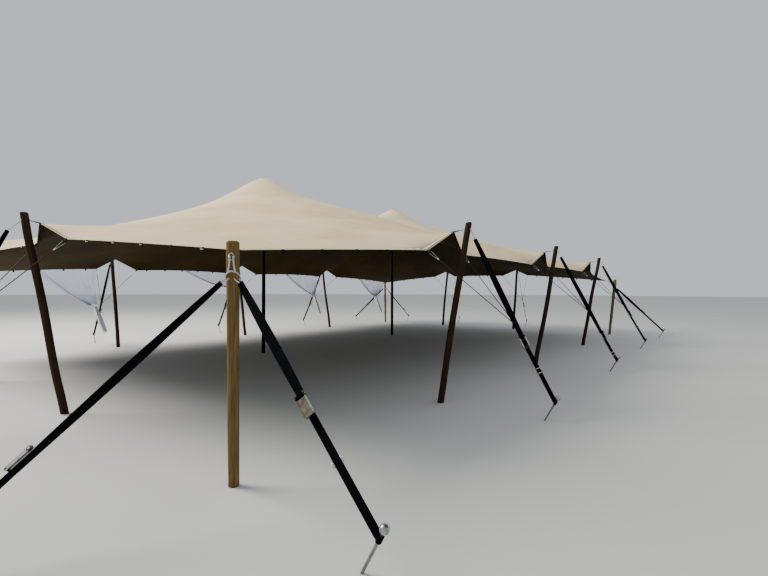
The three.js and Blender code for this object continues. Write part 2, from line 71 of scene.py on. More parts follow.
# Sheet: the heights and reaches of the points that hold it, and its pulls
CORNER_IN = 0.08
CORNER_Z = 1.866
TIP_Z = 2.33
BRIDLE_OFF = 0.5
SIDE_EDGE = {"tip_out": 0.2, "bridle_out": 0.09, "bridle_z": 2.05}
END_EDGE = {"tip_out": 0.27, "bridle_out": 0.15, "bridle_z": 2.115}
HEM_PULL = 14.0
RIDGE_PULL = 5.0
RIDGE_LENGTH = 2.5
SPINE_PULL = 0.37
CONE_RADIUS = 0.92
CONE_HEAD = 0.09
WIDE_PUSH = 0.2
WIDE_RADIUS = 4.0
PEAK_FLAT = 0.11
PEAK_LINES = (-0.42, -0.2, -PEAK_FLAT, 0, PEAK_FLAT, 0.2, 0.42)
# How far from a tip its stitching shows
TIP_REACH = 0.8
# The net's steps, each in so many parts; the solid's sheet has the steps alone
GRID_STEP = 0.56
FINENESS = 4
ON_LINE = 1e-6
SOLVER_PASSES = 700
SOLVER_GAIN = 1.94

# Tabs under the hem: how far they keep from a tip, and a loop seen from the side
TAB_CLEAR = 0.66
TAB_LOOP = ((0, 0.008), (-0.004, -0.012), (-0.003, -0.03), (0.004, -0.032), (0.005, 0.004))
TAB_SECTION = ((0.018, 0.001), (-0.018, 0.001), (-0.018, -0.001), (0.018, -0.001))

# Poles, straps and stakes
SIDE_POLE = {"height": 2.44, "lean": 0.42, "foot": 0.046, "head": 0.042}
CORNER_POLE = {"height": 1.92, "lean": 0.15, "foot": 0.042, "head": 0.05}
UPRIGHT_LEAN = 0.06
# The inner poles' heads: radius, and depth below the top
CAP = (
    (0.0415, 0.09), (0.07, 0.082), (0.088, 0.066), (0.095, 0.045), (0.094, 0.018),
    (0.088, 0.005), (0.078, 0), (0, 0))
CAP_DEPTH = 0.092
STAKE = {"lean": 0.16, "height": 0.3, "radius": 0.011, "head": 0.03}
STAKE_OUT = {"station": 1.41, "corner": 1.505}
COLLAR_Z = 0.228
CORNER_DRIFT = 0.25
ROLL = math.pi / 3
SIDE_RING_Z = 2.35
SIDE_STRAP_Z = 2.25
CORNER_RING_Z = 1.8
CORNER_STRAP_Z = 1.63
BRIDLE_JOIN = 0.56
RATCHET_AT = {"side": 0.585, "end": 0.785, "front_2": 0.78, "station": 0.665}
# Radii of the ropes, lines, cords, stops and shackles; width and thickness of flat bands
ROPE = {
    "tip": 0.0052, "head": 0.0065, "bridle": 0.0055, "doubled": 0.002, "stop": 0.008,
    "corner": 0.005, "strap": 0.0042, "shackle": 0.0048, "hem": 0.0045, "tie": 0.004}
BAND = {
    "tip": (0.044, 0.009), "corner": (0.05, 0.009), "bridle": (0.036, 0.006),
    "stake": (0.05, 0.0026)}
METALS = ["zinc_plated_pressed_steel", "oxidised_pressed_steel", "chromate_passivated_steel"]

# Curtains: where each hangs along the back edge, its tie and the end of its tail
CURTAINS = (
    ((1.45, 2.78), (3.14, 10.72, 1.04), (3.36, 10.64, 0.34)),
    ((5.15, 6.78), (6.9, 9.83, 1.56), (7.08, 9.8, 1.16)),
    ((9.05, 10.78), (11.22, 10.43, 1.28), (11.48, 10.36, 0.53)),
    ((13.2, 15.0), (14.94, 10.08, 1.19), (15.3, 10.02, 0.46)),
)
CUT_SHARE = 1.06
CURTAIN_GAP = 0.006
SAG = 0.09
NECK_AT = 0.62
NECK_HALF = 0.032
FOLDS = 9
# The mean drop of a curtain, which its 'cloth' attribute runs down
DROP = 2.3

# Stage
FLOOR_RADIUS = 130.0
FLOOR_GAP = 0.002
KEY_PLACE = Vector((-13.0, 12.0, 16.5))
KEY_AIM = Vector((0, 0, 2))
KEY_POWER = 7600.0
EYE = (-9.803, -7.923, 1.55)
EYE_AHEAD = (0.8045, 0.594, 0.003)
EYE_ROLL = 0.003
FOCAL_LENGTH = 21.256


# Materials


def linear(hex_colour):
    """The linear colour of an sRGB hex value such as 'd7cbb4'."""
    channels = [int(hex_colour[k : k + 2], 16) / 255 for k in (0, 2, 4)]
    return (*(c / 12.92 if c <= 0.04045 else ((c + 0.055) / 1.055) ** 2.4 for c in channels), 1.0)


def add_node(tree, kind, *ordered, **named):
    """Adds a node. Small names are its properties, 'stops' a ramp's places and colours.
    Inputs, in their order or by capital name with underscores for spaces, are values, hex
    colours, or the nodes or sockets that feed them."""
    node = tree.nodes.new("ShaderNode" + kind)
    for key in [key for key in named if key.islower()]:
        value = named.pop(key)
        if key == "stops":
            elements = node.color_ramp.elements
            while len(elements) < len(value):
                elements.new(0.5)
            for element, (place, colour) in zip(elements, value):
                element.position = place
                element.color = linear(colour)
        else:
            setattr(node, key, value)
    sockets = [s for s in node.inputs if s.enabled]
    fed = list(zip(sockets, ordered))
    for key, value in named.items():
        fed.append((next(s for s in sockets if s.name == key.replace("_", " ")), value))
    for socket, value in fed:
        if isinstance(value, bpy.types.Node):
            value = next(s for s in value.outputs if s.enabled)
        if isinstance(value, bpy.types.NodeSocket):
            tree.links.new(value, socket)
        else:
            socket.default_value = linear(value) if isinstance(value, str) else value
    return node


# Each recipe gets the place that its pattern follows and gives the surface. A Map Range
# is given its value, the range that it reads and the range that it gives, 0 to 1 if left


def coated_knit(add, place, shade, light, base):
    """Coated polyester knit. The fine grain keeps it matt, broad mottling is the coating's
    handling marks, faint lines are folds pressed in by the bag, and two rows of stitching
    run along the edge and show most at the tips."""
    broad = add("TexNoise", place, Scale=0.9, Detail=5.0, Roughness=0.6)
    tone = add("ValToRGB", broad, stops=[(0.3, shade), (0.52, base), (0.75, light)])
    # Threads lie 0.6 mm apart; they are drawn ten times coarser so that a grain shows
    grain = add("TexNoise", place, Scale=160.0, Detail=3.0, Roughness=0.7)
    fleck = add("ValToRGB", grain, stops=[(0.3, shade), (0.7, light)])
    mottled = add("Mix", 0.12, tone, fleck, data_type="RGBA")
    rim = add("Attribute", attribute_name="rim").outputs["Vector"]
    rims = add("SeparateXYZ", rim).outputs
    edge = add("Math", rims["X"], rims["Y"], operation="MINIMUM")
    # Two rows of stitches, 36 mm apart, each drawn 16 mm wide with its shadow
    rows = add("Math", edge, 0.018, operation="PINGPONG")
    line = add("MapRange", rows, 0.008, 0.013)
    reach = add("MapRange", edge, 0.066, 0.07, 1.0, 0.0)
    sewn = add("Math", line, reach, operation="MULTIPLY")
    ear = add("MapRange", rims["Z"], 0.0, 0.6, 0.06, 0.85)
    marked = add("Math", sewn, ear, operation="MULTIPLY")
    colour = add("Mix", marked, mottled, "62553f", data_type="RGBA", blend_type="MULTIPLY")
    folds = add("TexVoronoi", place, Scale=0.75, Randomness=0.9, feature="DISTANCE_TO_EDGE")
    crease = add("MapRange", folds, 0.0, 0.02)
    pressed = add("Bump", Height=crease, Strength=0.25, Distance=0.005)
    soft = add("TexNoise", place, Scale=3.2, Detail=3.0)
    wavy = add("Bump", Height=soft, Strength=0.25, Distance=0.03, Normal=pressed)
    knit = add("Bump", Height=grain, Strength=0.25, Distance=0.0012, Normal=wavy)
    return add("BsdfPrincipled", colour, Roughness=0.92, Specular_IOR_Level=0.15, Normal=knit)


def round_timber(add, place, heart, pale, dark, weather, roughness):
    """Round wood peeled of its bark and left outdoors. Long grain, darker knots and grey
    weathering break up the colour, and the surface is slightly ridged."""
    # Growth lines of 5 to 10 mm
    long_grain = add("Mapping", place, Scale=(1.0, 1.0, 0.045))
    streaks = add("TexNoise", long_grain, Scale=95.0, Detail=6.0, Roughness=0.62)
    tone = add("ValToRGB", streaks, stops=[(0.28, dark), (0.5, heart), (0.72, pale)])
    stretched = add("Mapping", place, Scale=(1.0, 1.0, 0.3))
    patches = add("TexNoise", stretched, Scale=9.0, Detail=3.0, Roughness=0.55)
    worn = add("MapRange", patches, 0.35, 0.68, 0.0, 0.55)
    greyed = add("Mix", worn, tone, weather, data_type="RGBA")
    # A knot about every 20 cm
    spread = add("Mapping", place, Scale=(1.0, 1.0, 0.55))
    cells = add("TexVoronoi", spread, Scale=5.0)
    knot = add("MapRange", cells, 0.05, 0.16, 0.75, 0.0)
    colour = add("Mix", knot, greyed, dark, data_type="RGBA")
    ridges = add("Bump", Height=streaks, Strength=0.5, Distance=0.003)
    raised = add("Bump", Height=knot, Strength=0.4, Distance=0.003, Normal=ridges)
    return add(
        "BsdfPrincipled", colour, Roughness=roughness, Specular_IOR_Level=0.15, Normal=raised)


def woven_webbing(add, place, base, light):
    """Woven polyester webbing. Cross ribs of about 2 mm are drawn at 6 mm so that they
    show, and scuffed fibres lighten it in patches."""
    scuffs = add("TexNoise", place, Scale=14.0, Detail=4.0, Roughness=0.65)
    tone = add("ValToRGB", scuffs, stops=[(0.35, base), (0.85, light)])
    ribs = add("TexWave", place, Scale=52.0, Distortion=0.3, bands_direction="Z")
    lines = add("TexWave", place, Scale=22.0, bands_direction="X")
    ribbed = add("Bump", Height=ribs, Strength=0.5, Distance=0.0012)
    lined = add("Bump", Height=lines, Strength=0.35, Distance=0.0012, Normal=ribbed)
    return add("BsdfPrincipled", tone, Roughness=0.9, Specular_IOR_Level=0.06, Normal=lined)


def laid_rope(add, place, base, shade, lay):
    """Laid synthetic rope. The slanting strands show as bands round it, lay metres apart,
    and it is darker between them."""
    wound = add("Mapping", place, Scale=(22.0, 22.0, 1.0))
    strands = add("TexWave", wound, Scale=0.3 / lay, bands_direction="DIAGONAL")
    tone = add("ValToRGB", strands, stops=[(0.1, shade), (0.6, base)])
    raised = add("Bump", Height=strands, Strength=0.6, Distance=0.002)
    return add("BsdfPrincipled", tone, Roughness=0.75, Normal=raised)


def worn_metal(add, place, base, dull, roughness, metallic=1.0):
    """Pressed or forged steel, plated and worn. Blotches change its colour and gloss, and
    fine scratches catch the light."""
    blotches = add("TexNoise", place, Scale=38.0, Detail=5.0, Roughness=0.6)
    tone = add("ValToRGB", blotches, stops=[(0.35, dull), (0.65, base)])
    gloss = add("MapRange", blotches, 0.3, 0.7, roughness + 0.15, roughness - 0.08)
    scratches = add("TexNoise", place, Scale=420.0)
    scored = add("Bump", Height=scratches, Strength=0.15, Distance=0.0005)
    return add("BsdfPrincipled", tone, metallic, gloss, Normal=scored)


def soft_vinyl(add, place, base, clearest, milkiest):
    """Soft clear vinyl sheet. Rubbed places are milky and let light through from behind,
    and it clouds where it is drawn together; the rest is nearly clear."""
    creases = add("TexNoise", place, Scale=2.2)
    rubbed = add("MapRange", creases, 0.35, 0.7, clearest, milkiest)
    drawn = add("SeparateXYZ", place).outputs["Z"]
    clouded = add("Math", rubbed, drawn, operation="ADD", use_clamp=True)
    wrinkled = add("Bump", Height=creases, Strength=0.3, Distance=0.01)
    face = add("BsdfPrincipled", base, Roughness=0.25, IOR=1.53, Normal=wrinkled)
    milk = add("MixShader", 0.5, face, add("BsdfTranslucent", base))
    return add("MixShader", clouded, add("BsdfTransparent", "ffffff"), milk)


def moulded_plastic(add, place, base, grime):
    """Moulded nylon left outdoors. It is slightly glossy, with grime in soft patches."""
    patches = add("TexNoise", place, Scale=60.0, Detail=3.0)
    tone = add("ValToRGB", patches, stops=[(0.3, grime), (0.6, base)])
    return add("BsdfPrincipled", tone, Roughness=0.42, IOR=1.53)


def studio_floor(add, place, base, shade):
    """Painted studio floor, matt and all but even."""
    clouds = add("TexNoise", place, Scale=0.35)
    tone = add("ValToRGB", clouds, stops=[(0.3, shade), (0.7, base)])
    return add("BsdfPrincipled", tone, Roughness=0.92)


# The attribute that a recipe's pattern follows; the others follow the object
FOLLOWED = {round_timber: "grain", woven_webbing: "run", laid_rope: "run", soft_vinyl: "cloth"}
# Each material's recipe and its colours; settings give the last values of three
LOOKS = {
    "coated_knit_outer": (coated_knit, "cfba90", "ead9b6"),
    # The inner face's dark brown is painted shade: the shadow under the sheet is put into its
    # colour
    "coated_knit_inner": (coated_knit, "2a1f07", "43340f"),
    "coated_knit_hem": (coated_knit, "d6c49e", "efe2c6", "e6d6b4"),
    "hem_tab_webbing": (woven_webbing, "15130f", "2d2a24"),
    "hem_tab_cord": (laid_rope, "e6e6e0", "a5a59e", 0.02),
    "stained_round_timber": (round_timber, "2c1b0d", "4a2e18", "130a05", "33241a", 0.8),
    "peeled_round_timber": (round_timber, "6c542b", "8f7847", "403016", "5e553b", 0.85),
    "dark_round_timber": (round_timber, "1d1712", "2f2720", "0e0b08", "282320", 0.6),
    "painted_steel_cap": (worn_metal, "34322f", "211f1d", 0.5, 0.6),
    "polyester_lashing_webbing": (woven_webbing, "030407", "0a0b12"),
    "zinc_plated_pressed_steel": (worn_metal, "d6d4cb", "98948a", 0.3),
    "oxidised_pressed_steel": (worn_metal, "5a554b", "2e2b25", 0.5),
    "chromate_passivated_steel": (worn_metal, "857d6b", "48433a", 0.5, 0.5),
    "white_polyester_rope": (laid_rope, "e0e0dc", "9c9e9c", 0.03),
    "dark_thin_line": (laid_rope, "141210", "080706", 0.02),
    "tip_tab_webbing": (woven_webbing, "131215", "2a292e"),
    "moulded_cord_stopper": (moulded_plastic, "e6e6e2", "b9b7ae"),
    "forged_zinc_shackle": (worn_metal, "cfcfcc", "90908c", 0.3),
    "galvanised_forged_steel": (worn_metal, "c4c5c5", "85878a", 0.3),
    "clear_soft_vinyl": (soft_vinyl, "9fa9bb"),
    # The doubled edge's lavender grey is painted shade on white vinyl
    "folded_vinyl_edge": (soft_vinyl, "9c9eb6", 0.9, 1.0),
    "gathered_vinyl_tail": (soft_vinyl, "f5f4f8", 0.85, 1.0),
    "curtain_tie_cord": (laid_rope, "d2d2cd", "84847f", 0.02),
    "matt_floor_paint": (studio_floor, "cfcfca", "cacac4"),
}


def look(name, *chosen):
    """The material of that name, made when it is first asked for. Chosen are the values
    that come from settings."""
    material = bpy.data.materials.get(name)
    if not material:
        material = bpy.data.materials.new(name)
        material.use_nodes = True
        material.node_tree.nodes.clear()
        add = partial(add_node, material.node_tree)
        recipe, *values = LOOKS[name]
        if recipe in FOLLOWED:
            place = add("Attribute", attribute_name=FOLLOWED[recipe]).outputs["Vector"]
        else:
            place = add("TexCoord").outputs["Object"]
        add("OutputMaterial", recipe(add, place, *values, *chosen))
    return material


# Shaping


def add_object(name, data):
    """A new object in the scene."""
    obj = bpy.data.objects.new(name, data)
    bpy.context.scene.collection.objects.link(obj)
    return obj


def add_mesh(name, bm, materials, smooth=False):
    """Turns a bmesh into an object with the materials of those names."""
    mesh = bpy.data.meshes.new(name)
    for face in bm.faces:
        face.smooth = smooth
    bm.to_mesh(mesh)
    bm.free()
    for material in materials:
        mesh.materials.append(look(material))
    return add_object(name, mesh)


def piece(
    name, bm, materials, body=ROOT, smooth=True, replaces=(), closed=True
):
    """Turns a bmesh into a finished piece at the origin that rides on a body."""
    if closed:
        bmesh.ops.recalc_face_normals(bm, faces=bm.faces)
    obj = add_mesh(name, bm, materials, smooth)
    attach(obj, body)
    if replaces:
        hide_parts(*replaces)
    return obj


def layer(bm, name):
    """A vector attribute of a bmesh's vertices, made when it is first asked for."""
    layers = bm.verts.layers.float_vector
    return layers.get(name) or layers.new(name)


def of_kind(geom, kind):
    """The vertices, edges or faces among what a bmesh operator made."""
    return [g for g in geom if isinstance(g, kind)]


def beside(d):
    """The level direction to the left of a direction, as long as its level part."""
    return Vector((-d.y, d.x, 0))


def axes_at(point, *axes):
    """The matrix of three axes with their origin at a point."""
    matrix = Matrix(axes).transposed().to_4x4()
    matrix.translation = point
    return matrix


def circle(radius, sides=8):
    """The section of a rope."""
    angles = [2 * math.pi * k / sides for k in range(sides)]
    return [(radius * math.cos(a), radius * math.sin(a)) for a in angles]


def band(width, thick):
    """The section of a flat band with softened edges."""
    w, t = width / 2, thick / 2
    c = t * 0.7
    half = [(w, -t + c), (w, t - c), (w - c, t), (-w + c, t)]
    return half + [(-a, -b) for a, b in half]


def draw_out(bm, path, section, across=None, swell=None):
    """Draws a section out along a path, extruding it from point to point. Across is the
    direction that the section's width keeps to, and swell its size at each point. The
    attribute 'run' holds the place across, through and along the piece."""
    run = layer(bm, "run")
    path = [Vector(p) for p in path]
    side = Vector(across) if across else (path[1] - path[0]).orthogonal()
    made = [bm.verts.new((a, b, 0)) for a, b in section]
    end = bm.faces.new(made)
    before = Matrix()
    travelled = 0.0
    for k, (behind, point, ahead) in enumerate(zip(path[:1] + path, path, path[1:] + path[-1:])):
        tangent = (ahead - behind).normalized()
        side = (side - tangent * side.dot(tangent)).normalized()
        here = axes_at(point, side, tangent.cross(side), tangent)
        if swell:
            here = here @ Matrix.Scale(swell[k], 4)
        if k:
            geom = bmesh.ops.extrude_face_region(bm, geom=[end])["geom"]
            made = of_kind(geom, BMVert)
            end = of_kind(geom, BMFace)[0]
            travelled += (point - behind).length
        bmesh.ops.transform(bm, matrix=here @ before.inverted(), verts=made)
        back = here.inverted()
        for vert in made:
            x, y, _ = back @ vert.co
            vert[run] = Vector((x, y, travelled))
        before = here


def strand(name, path, section, material, across=None, smooth=True):
    """A piece that is one section drawn out along one path."""
    bm = bmesh.new()
    draw_out(bm, path, section, across)
    return piece(name, bm, [material], smooth=smooth)


def eased(points):
    """A rounded line through the points, in five steps from one to the next."""
    points = [Vector(p) for p in points]
    ends = [2 * points[0] - points[1], *points, 2 * points[-1] - points[-2]]
    path = []
    for a, b, c, d in zip(ends, ends[1:], ends[2:], ends[3:]):
        for t in (s / 5 for s in range(5)):
            path.append(
                0.5 * (2 * b + (c - a) * t + (2 * a - 5 * b + 4 * c - d) * t * t
                       + (3 * b - a - 3 * c + d) * t * t * t))
    return path + [points[-1]]


def coil(centre, a, b, steps, count, radius, grow=0.0, rise=0.0):
    """Points round a centre from direction a to b, so many steps to a turn. The radius
    and the height grow with every step."""
    path = []
    for k in range(count):
        angle = 2 * math.pi * k / steps
        arm = a * math.cos(angle) + b * math.sin(angle)
        path.append(centre + arm * (radius + grow * k) + UP * rise * k)
    return path


def soften(bm, edges, offset, segments):
    """Rounds edges off."""
    bmesh.ops.bevel(
        bm, geom=edges, offset=offset, offset_type="OFFSET", segments=segments, profile=0.5,
        affect="EDGES", material=-1)


def settle(bm, made, centre, matrix, metal):
    """Gives a new shape its metal and its place."""
    for face in {f for v in made for f in v.link_faces}:
        face.material_index = metal
    bmesh.ops.translate(bm, verts=made, vec=centre)
    bmesh.ops.transform(bm, matrix=matrix, verts=made)


def block(bm, centre, size, matrix, bevel=0.0, metal=0):
    """A plate or block with softened edges."""
    made = bmesh.ops.create_cube(bm, size=1.0)["verts"]
    bmesh.ops.scale(bm, verts=made, vec=size)
    settle(bm, made, centre, matrix, metal)
    if bevel:
        soften(bm, list({e for v in made for e in v.link_edges}), bevel, 2)


def bar(bm, centre, radius, length, matrix, sides=20, axis="Y", metal=0):
    """A round bar or disc along one axis of the matrix."""
    made = bmesh.ops.create_cone(
        bm, cap_ends=True, segments=sides, radius1=radius, radius2=radius, depth=length)["verts"]
    turn = Matrix.Rotation(math.pi / 2, 3, "X" if axis == "Y" else "Y")
    bmesh.ops.rotate(bm, verts=made, cent=(0, 0, 0), matrix=turn)
    settle(bm, made, centre, matrix, metal)


def turned(bm, profile, steps):
    """A closed turned shape: the profile of (radius, height) spun once about Z."""
    verts = [bm.verts.new((r, 0, z)) for r, z in profile]
    edges = [bm.edges.new(pair) for pair in zip(verts, verts[1:])]
    bmesh.ops.spin(
        bm, geom=edges, cent=(0, 0, 0), axis=(0, 0, 1), angle=2 * math.pi, steps=steps,
        use_merge=True, use_duplicate=False)
    bmesh.ops.remove_doubles(bm, verts=bm.verts, dist=1e-6)


# Places of the poles, straps and stakes


def at_plan(u, v, z=0.0):
    """The point over plan position u, v."""
    return Vector((u - LENGTH / 2, v - WIDTH / 2, z))


def stations():
    """The poles along the edge: name, foot and outward direction."""
    found = []
    for k, u in enumerate(SIDE_STATIONS, 1):
        for side, v, out in SIDES:
            found.append((f"{side}_{k}", at_plan(u, v), Vector((0, out, 0))))
    for k, v in enumerate(END_STATIONS, 1):
        for end, u, out in ENDS:
            found.append((f"{end}_{k}", at_plan(u, v), Vector((out, 0, 0))))
    return found


def corners():
    """The corners: name, foot, outward lean and the pole."""
    upright = {**CORNER_POLE, "lean": UPRIGHT_LEAN}
    return [
        (f"{side}_{end}", at_plan(u, v), Vector((x, y, 0)), CORNER_POLE if u or v else upright)
        for side, v, y in SIDES for end, u, x in ENDS]


def pole_axis(pole, foot, out, z):
    """The middle of a leaning pole or stake at height z."""
    return foot + out * (pole["lean"] * z / pole["height"]) + UP * z


def pole_radius(pole, z):
    """The radius of a pole at height z."""
    return pole["foot"] + (pole["head"] - pole["foot"]) * z / pole["height"]


Run = namedtuple("Run", "name node start end out stake where")


def strap_runs():
    """Every strap from its pole to its stake."""
    runs = []

    def add(name, node, start, out, stake, where):
        end = pole_axis(STAKE, stake, out, COLLAR_Z)
        runs.append(Run(name, node, start, end, out, stake, where))

    for name, foot, out in stations():
        start = pole_axis(SIDE_POLE, foot, out, SIDE_STRAP_Z)
        start += out * pole_radius(SIDE_POLE, SIDE_STRAP_Z)
        add(name, f"strap_{name}", start, out, foot + out * STAKE_OUT["station"],
            RATCHET_AT.get(name, RATCHET_AT["station"]))
    for name, foot, lean, pole in corners():
        axis = pole_axis(pole, foot, lean, CORNER_STRAP_Z)
        radius = pole_radius(pole, CORNER_RING_Z)
        for part, out, drift in (
            ("side", Vector((0, lean.y, 0)), Vector((-CORNER_DRIFT, 0, 0))),
            ("end", Vector((lean.x, 0, 0)), Vector((0, -lean.y * CORNER_DRIFT, 0))),
        ):
            add(f"{name}_{part}", f"strap_{name}", axis + out * radius, out,
                foot + out * STAKE_OUT["corner"] + drift, RATCHET_AT[part])
    return runs


def webbing_top(run):
    """Where a strap's webbing begins, a little way off its pole."""
    lone = run.node == f"strap_{run.name}"
    gap, off = (0.045, 0.055 if run.out.y else 0.12) if lone else (0.05, 0.01)
    length = (run.end - run.start).length
    return run.start.lerp(run.end, gap / length) + run.out * off


def run_axes(run, at):
    """The axes of a strap at a share of its way: along it, across its rolled width and
    off its face."""
    forward = (run.end - run.start).normalized()
    side = Quaternion(forward, ROLL) @ beside(forward).normalized()
    return axes_at(run.start.lerp(run.end, at), forward, side, forward.cross(side))


# The sheet's shape


def grid_lines(marks):
    """Grid lines that pass through every mark, in equal steps between."""
    marks = sorted(set(round(m, 6) for m in marks))
    lines = [marks[0]]
    for a, b in zip(marks, marks[1:]):
        parts = FINENESS * max(1, round((b - a) / GRID_STEP))
        lines += [a + (b - a) * k / parts for k in range(1, parts + 1)]
    return np.array(lines)


def nearest(lines, at):
    """The number of the grid line nearest to a place."""
    return int(np.argmin(abs(lines - at)))


def on_marks(lines, marks):
    """1 for every grid line on a mark and 0 for the others."""
    return (abs(np.subtract.outer(lines, marks)) < ON_LINE).any(axis=1).astype(float)


def share(lines):
    """The strip of cloth that belongs to each line."""
    steps = np.diff(lines)
    return (np.append(0, steps) + np.append(steps, 0)) / 2


def ridge(lines, length):
    """The pull along a rib between each two lines, strongest at the tips."""
    mid = (lines[:-1] + lines[1:]) / 2
    return RIDGE_PULL * np.maximum(0, 1 - np.minimum(mid, length - mid) / RIDGE_LENGTH)


def settled(start, load, held, onward, across):
    """The net at rest: every free knot is where the pulls of its neighbours balance."""
    value = start.copy()
    total = np.zeros_like(value)
    total[:-1] += onward
    total[1:] += onward
    total[:, :-1] += across
    total[:, 1:] += across
    i, j = np.indices(value.shape)
    colours = [((i + j) % 2 == c) & ~held for c in (0, 1)]
    for _ in range(SOLVER_PASSES):
        for mask in colours:
            pull = load.copy()
            pull[:-1] += onward * value[1:]
            pull[1:] += onward * value[:-1]
            pull[:, :-1] += across * value[:, 1:]
            pull[:, 1:] += across * value[:, :-1]
            value[mask] += SOLVER_GAIN * (pull[mask] / total[mask] - value[mask])
    return value


def fabric_net():
    """The stretched net: lines u and v and the knots' points in metres."""
    near_tip = (-BRIDLE_OFF, 0, BRIDLE_OFF)
    us, vs = (
        grid_lines(
            [0, length] + [s + d for s in marks for d in near_tip]
            + [p + r for p in peaks for r in PEAK_LINES])
        for length, marks, peaks in (
            (LENGTH, SIDE_STATIONS, [p[0] for p in PEAKS]),
            (WIDTH, END_STATIONS, [PEAKS[0][1]])))
    grid_u, grid_v = np.meshgrid(us, vs, indexing="ij")
    x, y = grid_u.copy(), grid_v.copy()
    z = np.full(x.shape, SIDE_EDGE["bridle_z"])
    held = np.zeros(x.shape, bool)

    def hold(plan, point, height):
        k = nearest(us, plan[0]), nearest(vs, plan[1])
        held[k] = True
        x[k], y[k], z[k] = *point, height

    for _, v, out_v in SIDES:
        for _, u, out_u in ENDS:
            hold((u, v), (u - out_u * CORNER_IN, v - out_v * CORNER_IN), CORNER_Z)
    for marks, rows, edge, order in (
        (SIDE_STATIONS, SIDES, SIDE_EDGE, 1), (END_STATIONS, ENDS, END_EDGE, -1)
    ):
        for at, d in ((s + d, d) for s in marks for d in near_tip):
            reach, height = (
                (edge["bridle_out"], edge["bridle_z"]) if d else (edge["tip_out"], TIP_Z))
            for _, line, out in rows:
                hold((at, line)[::order], (at, line + out * reach)[::order], height)

    mid = (us[:-1] + us[1:]) / 2
    between = ((mid > PEAKS[0][0]) & (mid < PEAKS[1][0])).astype(float)
    spine = np.outer(between, on_marks(vs, [PEAKS[0][1]]))
    ribs = np.outer(ridge(us, LENGTH), on_marks(vs, END_STATIONS))
    onward = share(vs) + HEM_PULL * on_marks(vs, (0, WIDTH)) + ribs
    onward = (onward + SPINE_PULL * spine) / np.diff(us)[:, None]
    ribs = np.outer(on_marks(us, SIDE_STATIONS), ridge(vs, WIDTH))
    across = (share(us) + HEM_PULL * on_marks(us, (0, LENGTH)))[:, None] + ribs
    across = across / np.diff(vs)[None, :]
    from_peak = [np.hypot(grid_u - p[0], grid_v - p[1]) for p in PEAKS]
    heads = [r <= PEAK_FLAT + ON_LINE for r in from_peak]
    none = np.zeros(x.shape)
    pinned = held | heads[0] | heads[1]
    x, y = (settled(plan, none, pinned, onward, across) for plan in (x, y))
    flat = settled(z, none, held, onward, across)
    cones = []
    area = np.outer(share(us), share(vs))
    for r in from_peak:
        push = np.maximum(0, 1 - r / CONE_RADIUS) / np.maximum(r, CONE_HEAD)
        push += WIDE_PUSH * np.maximum(0, 1 - r / WIDE_RADIUS)
        cones.append(settled(none, push * area, held, onward, across))
    tops = [(nearest(us, p[0]), nearest(vs, p[1])) for p in PEAKS]
    rates = np.array([[cone[top] for cone in cones] for top in tops])
    needs = np.array([p[2] - flat[top] for p, top in zip(PEAKS, tops)])
    lift = np.linalg.solve(rates, needs)
    z = flat + lift[0] * cones[0] + lift[1] * cones[1]
    for p, head in zip(PEAKS, heads):
        z[head] = p[2]
    return us, vs, np.stack([x - LENGTH / 2, y - WIDTH / 2, z], axis=-1)


NET = fabric_net()


def knot(place):
    """The sheet's knot over a place on the ground."""
    us, vs, points = NET
    at = nearest(us, place.x + LENGTH / 2), nearest(vs, place.y + WIDTH / 2)
    return Vector(points[at])


def sheet_grid():
    """A bmesh of the sheet, each vertex on its knot. The attribute 'rim' holds the
    distances from the sides and from the ends, and how near a tip is; 'inward' the
    direction into the cloth from the edge."""
    us, vs, points = NET
    nu, nv = points.shape[:2]
    bm = bmesh.new()
    rim, inward = layer(bm, "rim"), layer(bm, "inward")
    bmesh.ops.create_grid(bm, x_segments=nu - 1, y_segments=nv - 1, size=0.5)
    for vert in bm.verts:
        i = round((vert.co.x + 0.5) * (nu - 1))
        j = round((vert.co.y + 0.5) * (nv - 1))
        u, v = us[i], vs[j]
        from_side, from_end = min(v, WIDTH - v), min(u, LENGTH - u)
        near = min(
            [math.hypot(u - s, from_side) for s in SIDE_STATIONS]
            + [math.hypot(v - s, from_end) for s in END_STATIONS])
        vert.co = Vector(points[i, j])
        vert[rim] = Vector((from_side, from_end, max(0.0, 1 - near / TIP_REACH)))
        di = (i == 0) - (i == nu - 1)
        dj = (j == 0) - (j == nv - 1)
        if di or dj:
            vert[inward] = (Vector(points[i + di, j + dj]) - vert.co).normalized()
    if sum(f.normal.z for f in bm.faces) < 0:
        bmesh.ops.reverse_faces(bm, faces=bm.faces)
    return bm


# Settings


class CanopySettings(PropertyGroup):
    thickness: FloatProperty(
        name="Thickness", description="Thickness of the drawn sheet", default=0.003,
        unit="LENGTH")
    top_colour: StringProperty(
        name="Top colour", description="sRGB hex colour of the outer face", default="e0cda6")
    # The inner face's colour is painted shade, much darker than the outer face
    under_painted_shade_colour: StringProperty(
        name="Under colour", description="sRGB hex colour of the inner face", default="36290a")
    hem: FloatProperty(name="Hem", description="Width of the hem", default=0.05, unit="LENGTH")
    tab_spacing: FloatProperty(
        name="Tab spacing", description="From tab to tab along the hem", default=0.5,
        unit="LENGTH")


class PoleSettings(PropertyGroup):
    sides: IntProperty(name="Sides", description="Faces round a pole", default=28, min=8)
    bend: FloatProperty(
        name="Bend", description="How far an edge pole wanders from straight", default=0.022,
        unit="LENGTH")


class StrapSettings(PropertyGroup):
    width: FloatProperty(
        name="Width", description="Width of the webbing", default=0.055, unit="LENGTH")
    thickness: FloatProperty(
        name="Thickness", description="Thickness of the webbing", default=0.0026, unit="LENGTH")


class CurtainSettings(PropertyGroup):
    clearest: FloatProperty(
        name="Clearest", description="Opacity of the clearest film", default=0.26, min=0, max=1,
        subtype="FACTOR")
    milkiest: FloatProperty(
        name="Milkiest", description="Opacity of the rubbed film", default=0.5, min=0, max=1,
        subtype="FACTOR")


# Pieces


